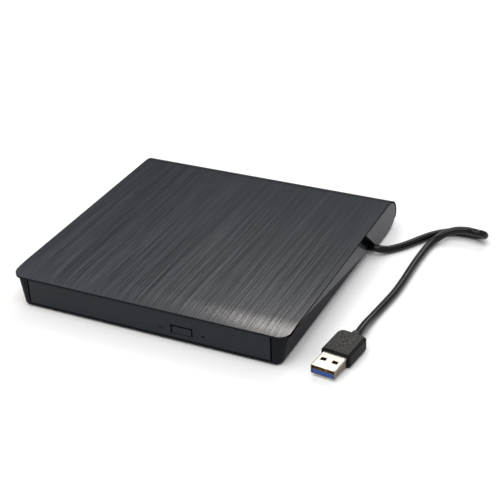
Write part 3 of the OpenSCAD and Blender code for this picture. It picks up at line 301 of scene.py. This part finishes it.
# Brushed cover: stretch and detail of its long lines and short nicks, tones by their sum
BRUSH_LINES, BRUSH_NICKS = ((1500, 14, 300), 4), ((2300, 60, 300), 1)
NICK_WEIGHT, BRUSH_MEAN = 0.35, 0.675
BRUSH_TONES = [
    (0.0, (0.014, 0.015, 0.018)), (0.26, (0.036, 0.039, 0.044)), (0.6, (0.079, 0.085, 0.096)),
    (0.9, (0.137, 0.145, 0.162)),
]
# Faces that look up less than this take the darkest tone: painted shade on the rim and the back of
# the nose
BRUSH_TOP_UNSHADED = (0.35, 0.93)
BRUSH_BUMP = (0.16, 0.0002)
# Lines calmer towards the rear than at the front: painted sheen
BRUSH_SHEEN_FADE = {"From Min": 0.07, "From Max": -0.03, "To Min": 0.35, "To Max": 1.0}


def brush_skin():
    """Brushed lines on the upward faces, calmer at the rear as a painted sheen; rim and back of the
    nose stay dark as painted shade.
    """
    tree = tree_of("skin")
    lines, nicks = noise(tree, *BRUSH_LINES), noise(tree, *BRUSH_NICKS)
    both = calc(tree, "MULTIPLY_ADD", nicks, NICK_WEIGHT, lines)
    sheen_fade = tree.nodes.new("ShaderNodeMapRange")
    for key, value in BRUSH_SHEEN_FADE.items():
        sheen_fade.inputs[key].default_value = value
    tree.links.new(place(tree, "Y"), sheen_fade.inputs["Value"])
    off_mean = calc(tree, "SUBTRACT", both, BRUSH_MEAN)
    faded = calc(tree, "MULTIPLY_ADD", off_mean, sheen_fade.outputs["Result"], BRUSH_MEAN)
    # Brush tones on the faces that look up, painted shade on the others
    brush_and_painted_shade = calc(tree, "MULTIPLY", faded, share(tree, facing(tree, "Z"), *BRUSH_TOP_UNSHADED))
    paint(tree, ramp(tree, brush_and_painted_shade, BRUSH_TONES))
    bump(tree, lines, *BRUSH_BUMP)


# Painted reflection on the end faces of the housing: their paler tone, how upright they stand, and
# how far out (in units of 100 mm)
END_REFLECTION_TONE = (0.165, 0.162, 0.178)
END_UPRIGHT, END_OUT, PER_METRE = (0.98, 0.994), (0.7, 0.705), 10


def paint_end_reflection():
    """Matte end faces of the housing, painted paler where the surface stands upright on its outer
    sides: a painted reflection.
    """
    tree = tree_of("shell")
    upright = share(tree, calc(tree, "ABSOLUTE", facing(tree, "X")), *END_UPRIGHT)
    out = calc(tree, "MULTIPLY", calc(tree, "ABSOLUTE", place(tree, "X")), PER_METRE)
    both = calc(tree, "MULTIPLY", upright, share(tree, out, *END_OUT))
    paint(tree, ramp(tree, both, [(0.0, FINISH["shell"][0]), (1.0, END_REFLECTION_TONE)]))


# Moulded grain: fineness and strength, and tones of the specks by their height; faces that don't
# look up take the darkest tone, a painted shade
GRAIN = {"shell": (2200, 0.2), "panel": (2600, 0.05), "grip": (1500, 0.6)}
SPECKS_AND_SHADE = {"grip": [(0.42, (0.007, 0.007, 0.007)), (0.6, (0.082, 0.081, 0.079))]}
GRAIN_DETAIL, GRAIN_DEPTH, SPECK_TOP = 2, 0.0001, (0.3, 0.9)


def grain(slot, fineness, strength, tones):
    """Moulded grain, with lighter and darker specks on the upward faces where tones are given, and
    painted shade on the other faces.
    """
    tree = tree_of(slot)
    height = noise(tree, (fineness, fineness, fineness), GRAIN_DETAIL)
    bump(tree, height, strength, GRAIN_DEPTH)
    if tones:
        # Specks on the faces that look up; the others get the darkest tone as painted shade
        upward = share(tree, facing(tree, "Z"), *SPECK_TOP)
        paint(tree, ramp(tree, calc(tree, "MULTIPLY", height, upward), tones))


# Plated shell of the plug: bright on its flat faces, painted darker on its sides and cut ends as
# painted shade.
# Tongue of the plug: coloured at its end, brown where the contacts lie, its dark tone a painted
# shade inside the shell
SHADE_BY_SLOPE = {
    "plug_metal": [(0.25, (0.26, 0.235, 0.21)), (0.9, FINISH["plug_metal"][0])],
    "plug_tongue": [(0.3, FINISH["plug_tongue"][0]), (0.7, (0.16, 0.088, 0.048))],
}


def paint_shade_by_slope(slot, stops):
    """Colour that depends on how flat a face lies: painted shade."""
    tree = tree_of(slot)
    paint(tree, ramp(tree, calc(tree, "ABSOLUTE", facing(tree, "Z")), stops))


# Tint of a metal where it is seen at a low angle
EDGE_TINT = {"skin": (0.35, 0.35, 0.35, 1), "plug_metal": (0.42, 0.37, 0.33, 1)}

brush_skin()
paint_end_reflection()
for slot, (fineness, strength) in GRAIN.items():
    grain(slot, fineness, strength, SPECKS_AND_SHADE.get(slot))
for slot, stops in SHADE_BY_SLOPE.items():
    paint_shade_by_slope(slot, stops)
for slot, tint in EDGE_TINT.items():
    shader_input(tree_of(slot), "Specular Tint").default_value = tint

slot_of = {s["node"]: s["material_slot"] for s in frame["record"]["subparts"]}
for name, obj in nodes.items():
    obj.data.materials.clear()
    obj.data.materials.append(materials[slot_of[name]])
cord_obj.data.materials.clear()
cord_obj.data.materials.append(materials["cable"])

owner = {}
for body, members in frame["record"]["behaviour"]["bodies"].items():
    for name in members:
        owner[name] = body


def add_mesh(name, verts, faces, slot):
    mesh = bpy.data.meshes.new(name)
    mesh.from_pydata([tuple(v) for v in verts], [], faces)
    mesh.materials.append(materials[slot])
    obj = bpy.data.objects.new(name, mesh)
    scene.collection.objects.link(obj)
    return obj


def tube(name, slot, rings, flip):
    """Closed piece through rings of equally many points; flip turns its faces round."""
    sides, last = len(rings[0]), len(rings) - 1
    faces = [tuple(range(sides))[::-1], tuple(last * sides + j for j in range(sides))]
    for i in range(last):
        for j in range(sides):
            k = (j + 1) % sides
            faces.append((i * sides + j, i * sides + k, (i + 1) * sides + k, (i + 1) * sides + j))
    if flip:
        faces = [face[::-1] for face in faces]
    return add_mesh(name, [point for ring in rings for point in ring], faces, slot)


def stand_for(obj, node, body=None):
    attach(obj, body or owner[node])
    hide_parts(node)


# Visual copies of CAD nodes: points this near (m) and faces this flat (degrees) are joined,
# and edges sharper than this (degrees) are softened
WELD, FLAT, SHARP = 3e-6, 0.4, 32.0
SOFT_SEGMENTS, FOLD_SEGMENTS = 2, 4


def cleaned(node):
    """Copy of a CAD node's mesh with its flat faces joined."""
    mesh = nodes[node].data.copy()
    mesh.name = node + "_look"
    if "custom_normal" in mesh.attributes:
        mesh.attributes.remove(mesh.attributes["custom_normal"])
    bm = bmesh.new()
    bm.from_mesh(mesh)
    bmesh.ops.remove_doubles(bm, verts=bm.verts, dist=WELD)
    bmesh.ops.dissolve_limit(bm, angle_limit=math.radians(FLAT), verts=bm.verts, edges=bm.edges)
    bm.to_mesh(mesh)
    bm.free()
    return mesh


def dressed(node, width):
    """Visual copy of a CAD node with smooth rounds, and softened edges where width isn't 0."""
    mesh = cleaned(node)
    mesh.shade_smooth()
    mesh.set_sharp_from_angle(angle=math.radians(SHARP))
    obj = bpy.data.objects.new(node + "_look", mesh)
    obj.matrix_world = nodes[node].matrix_world.copy()
    scene.collection.objects.link(obj)
    if width:
        soft = obj.modifiers.new("soft edges", "BEVEL")
        soft.width = width * MM
        soft.segments = SOFT_SEGMENTS
        soft.limit_method = "ANGLE"
        soft.angle_limit = math.radians(SHARP)
        soft.harden_normals = True
        soft.use_clamp_overlap = True
    stand_for(obj, node)
    return obj


EDGES = {
    "top_cover": 0.12, "housing": 0.12, "bezel": 0.15, "eject_button": 0.08, "rubber_feet": 0.2,
    "cable_boot": 0.25, "plug_body": 0.2, "tray": 0.15, "status_lens": 0.05, "plug_insert": 0.1,
}
looks = {name: dressed(name, width) for name, width in EDGES.items()}

# Shadow gap round the eject button: its cap is drawn in at its sides and its top
CAP_HALF, CAP_IN = (5.5, 2.1), (0.55, 0.6)
NEAR = 0.02  # a point this near to a face or corner, in mm, lies on it


def draw_in_cap():
    mesh = looks["eject_button"].data
    low = [min(v.co[k] for v in mesh.vertices) for k in range(3)]
    high = [max(v.co[k] for v in mesh.vertices) for k in range(3)]
    for v in mesh.vertices:
        off = [(v.co[k] - (low[k] + high[k]) / 2) / MM for k in range(3)]
        if abs(abs(off[0]) - CAP_HALF[0]) < NEAR:
            v.co.x -= math.copysign(CAP_IN[0] * MM, off[0])
        if abs(off[2] - CAP_HALF[1]) < NEAR:
            v.co.z -= CAP_IN[1] * MM


draw_in_cap()

# Metal shell of the plug: its long outer edges are folded, so they are rounder than the rest
PLUG_ORIGIN = mm(*PLUG_AT, PLUG_H / 2)
SHELL_HALF = (6.0, 2.25)
FOLD_R = 0.55
SKEW = 0.1  # an edge that leans less than this to the side or up runs lengthwise


def folded_shell():
    obj = dressed("plug_shell", 0)
    side = Vector((math.cos(PLUG_YAW), math.sin(PLUG_YAW), 0))
    bm = bmesh.new()
    bm.from_mesh(obj.data)
    weight = bm.edges.layers.float.new("bevel_weight_edge")

    def at_corner(vert):
        off = obj.matrix_world @ vert.co - PLUG_ORIGIN
        wide, high = abs(off.dot(side)) / MM, abs(off.z) / MM
        return abs(wide - SHELL_HALF[0]) < NEAR and abs(high - SHELL_HALF[1]) < NEAR

    for edge in bm.edges:
        a, b = edge.verts
        along = (obj.matrix_world @ a.co - obj.matrix_world @ b.co).normalized()
        lengthwise = abs(along.dot(side)) < SKEW and abs(along.z) < SKEW
        if lengthwise and at_corner(a) and at_corner(b):
            edge[weight] = 1
    bm.to_mesh(obj.data)
    bm.free()
    fold = obj.modifiers.new("folded edges", "BEVEL")
    fold.width = FOLD_R * MM
    fold.segments = FOLD_SEGMENTS
    fold.limit_method = "WEIGHT"
    fold.harden_normals = True
    return obj


shell = folded_shell()

# Lead screw with its thread
DECK_TURN = math.radians(-135)
SPINDLE_Y = -6.0


def deck_mm(u, v, z):
    """Point of the pickup deck: u along the sled's travel, v across it."""
    x = u * math.cos(DECK_TURN) - v * math.sin(DECK_TURN)
    y = u * math.sin(DECK_TURN) + v * math.cos(DECK_TURN) + SPINDLE_Y
    return mm(x, y, z)


SCREW_V, ROD_Z, SCREW_R, JOURNAL_R, SCREW_LEAD = 22.6, 5.45, 1.2, 0.6, 3.0
# Along the screw: start of its first journal, both ends of its thread, end of its last journal
SCREW_ENDS = (9.4, 12.8, 56.0, 57.8)
THREAD_DEPTH, THREAD_POWER, THREAD_STEP = 0.22, 4, 0.25
SCREW_SIDES, SCREW_SHARP = 20, 50


def screw_ring(u, radius):
    """Ring across the screw at u, with its radius by angle."""
    ring = []
    for j in range(SCREW_SIDES):
        a = 2 * math.pi * j / SCREW_SIDES
        ring.append(deck_mm(u, SCREW_V + radius(a) * math.cos(a), ROD_Z + radius(a) * math.sin(a)))
    return ring


def lead_screw():
    def thread(u):
        turn = 2 * math.pi * u / SCREW_LEAD
        return lambda a: SCREW_R - THREAD_DEPTH * max(0.0, math.cos(a - turn)) ** THREAD_POWER

    def journal(a):
        return JOURNAL_R

    first, start, end, last = SCREW_ENDS
    count = int((end - start) / THREAD_STEP)
    turns = [start + (end - start) * i / count for i in range(count + 1)]
    rings = [screw_ring(u, journal) for u in (first, start)]
    rings += [screw_ring(u, thread(u)) for u in turns]
    rings += [screw_ring(u, journal) for u in (end, last)]
    obj = tube("lead_screw_thread", "rail_steel", rings, flip=False)
    obj.data.shade_smooth()
    obj.data.set_sharp_from_angle(angle=math.radians(SCREW_SHARP))
    stand_for(obj, "lead_screw")


lead_screw()

# Coil spring of the ejector, between seats that are given from the front panel
PANEL_Y = -71.0
EJECT_X, EJECT_Z = -55.5, 6.55
COIL_R, WIRE_R, COIL_TURNS = 1.48, 0.22, 8
COIL_STEPS, WIRE_SIDES = 16, 8
SPRING_SEATS = (95.1, 103.95)
SPRING_SPAN = (PANEL_Y + SPRING_SEATS[0] + WIRE_R, PANEL_Y + SPRING_SEATS[1] - WIRE_R)


def coil_spring():
    steps = COIL_TURNS * COIL_STEPS
    rings = []
    for i in range(steps + 1):
        a = 2 * math.pi * i / COIL_STEPS
        y = SPRING_SPAN[0] + (SPRING_SPAN[1] - SPRING_SPAN[0]) * i / steps
        ring = []
        for j in range(WIRE_SIDES):
            b = 2 * math.pi * j / WIRE_SIDES
            r = COIL_R + WIRE_R * math.cos(b)
            ring.append(mm(
                EJECT_X + r * math.cos(a), y + WIRE_R * math.sin(b), EJECT_Z + r * math.sin(a),
            ))
        rings.append(ring)
    obj = tube("ejector_spring_coil", "rail_steel", rings, flip=True)
    obj.data.shade_smooth()
    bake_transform(obj)
    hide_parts("ejector_spring")


coil_spring()

# Flat ribbon: the lower strip stays on the pan, the upper one runs from its fold to the tray
RIBBON_X = (24.0, 38.0)
RIBBON_T = 0.08
RIBBON_STEPS = 36
RIBBON_FOLD, RIBBON_TRAY, RIBBON_BOARD = PANEL_Y + 36, PANEL_Y + 103.4, PANEL_Y + 110.5
RIBBON_LOW, RIBBON_HIGH, RIBBON_TRAY_Z, RIBBON_BOARD_Z = 2.62, 2.85, 6.2, 3.4


def strip(name, line):
    """Thin band across the ribbon's width along (y, z) points, with its thickness to one side."""
    verts, faces = [], []
    for i, (y, z) in enumerate(line):
        before, after = line[max(i - 1, 0)], line[min(i + 1, len(line) - 1)]
        along = Vector((after[0] - before[0], after[1] - before[1])).normalized() * RIBBON_T
        for x in RIBBON_X:
            verts.append(mm(x, y, z))
            verts.append(mm(x, y - along.y, z + along.x))
    for i in range(len(line) - 1):
        a, b = 4 * i, 4 * i + 4
        for p, q in ((0, 2), (2, 3), (3, 1), (1, 0)):
            faces.append((a + p, a + q, b + q, b + p))
    end = 4 * len(line) - 4
    faces += [(0, 1, 3, 2), (end, end + 2, end + 3, end + 1)]
    return add_mesh(name, verts, faces, "ribbon")


def ribbon():
    low = strip("flex_ribbon_low", [
        (RIBBON_FOLD, RIBBON_LOW), (RIBBON_BOARD, RIBBON_LOW), (RIBBON_BOARD, RIBBON_BOARD_Z),
    ])
    stand_for(low, "flex_ribbon", "case")
    step = (RIBBON_TRAY - RIBBON_FOLD) / RIBBON_STEPS
    line = [(RIBBON_FOLD + step * i, RIBBON_HIGH) for i in range(RIBBON_STEPS + 1)]
    high = strip("flex_ribbon_high", line + [(RIBBON_TRAY, RIBBON_TRAY_Z)])
    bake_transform(high)
    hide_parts("flex_ribbon")


ribbon()

# Stage: a pale floor and soft light
FLOOR_SEEN, FLOOR_BOUNCE = 0.97, 0.4
FLOOR_HALF, FLOOR_Z = 3.0, -0.0001
SKY_STRENGTH = 0.68
WARM = (1.0, 0.87, 0.72)
# Name, place, aim, size in metres, power, colour
LAMPS = [
    ("top", mm(20, -380, 1050), mm(20, -20, 0), (1.0, 1.0), 6.8, WHITE),
    ("glint", mm(-172, 427, 581), mm(68, -66, 17), (0.14, 0.12), 0.56, WARM),
    ("rim", mm(100, 540, 480), mm(100, 20, 0), (0.06, 0.4), 0.7, WHITE),
]


def floor():
    """White to the eye and in reflections, with a weaker bounce onto the object."""
    mat = bpy.data.materials.new("floor")
    mat.use_nodes = True
    tree = mat.node_tree
    tree.nodes.clear()
    link = tree.links.new
    path = tree.nodes.new("ShaderNodeLightPath").outputs
    seen = calc(tree, "MAXIMUM", path["Is Camera Ray"], path["Is Glossy Ray"])
    pick = tree.nodes.new("ShaderNodeMixShader")
    link(calc(tree, "MAXIMUM", seen, path["Is Transmission Ray"]), pick.inputs["Fac"])
    for i, level in ((1, FLOOR_BOUNCE), (2, FLOOR_SEEN)):
        matte = tree.nodes.new("ShaderNodeBsdfDiffuse")
        matte.inputs["Color"].default_value = (level, level, level, 1)
        link(matte.outputs[0], pick.inputs[i])
    link(pick.outputs[0], tree.nodes.new("ShaderNodeOutputMaterial").inputs["Surface"])
    signs = ((-1, -1), (1, -1), (1, 1), (-1, 1))
    corners = [(x * FLOOR_HALF, y * FLOOR_HALF, FLOOR_Z) for x, y in signs]
    obj = bpy.data.objects.new("floor", bpy.data.meshes.new("floor"))
    obj.data.from_pydata(corners, [], [(0, 1, 2, 3)])
    obj.data.materials.append(mat)
    scene.collection.objects.link(obj)


def world():
    sky = bpy.data.worlds.new("studio")
    sky.use_nodes = True
    back = sky.node_tree.nodes["Background"]
    back.inputs["Color"].default_value = (*WHITE, 1)
    back.inputs["Strength"].default_value = SKY_STRENGTH
    scene.world = sky


def lamp(name, at, aim, size, power, color):
    data = bpy.data.lights.new(name, "AREA")
    data.shape = "RECTANGLE"
    data.size, data.size_y = size
    data.energy = power
    data.color = color
    obj = bpy.data.objects.new(name, data)
    obj.location = at
    obj.rotation_euler = (aim - at).to_track_quat("-Z", "Y").to_euler()
    scene.collection.objects.link(obj)


floor()
world()
for row in LAMPS:
    lamp(*row)
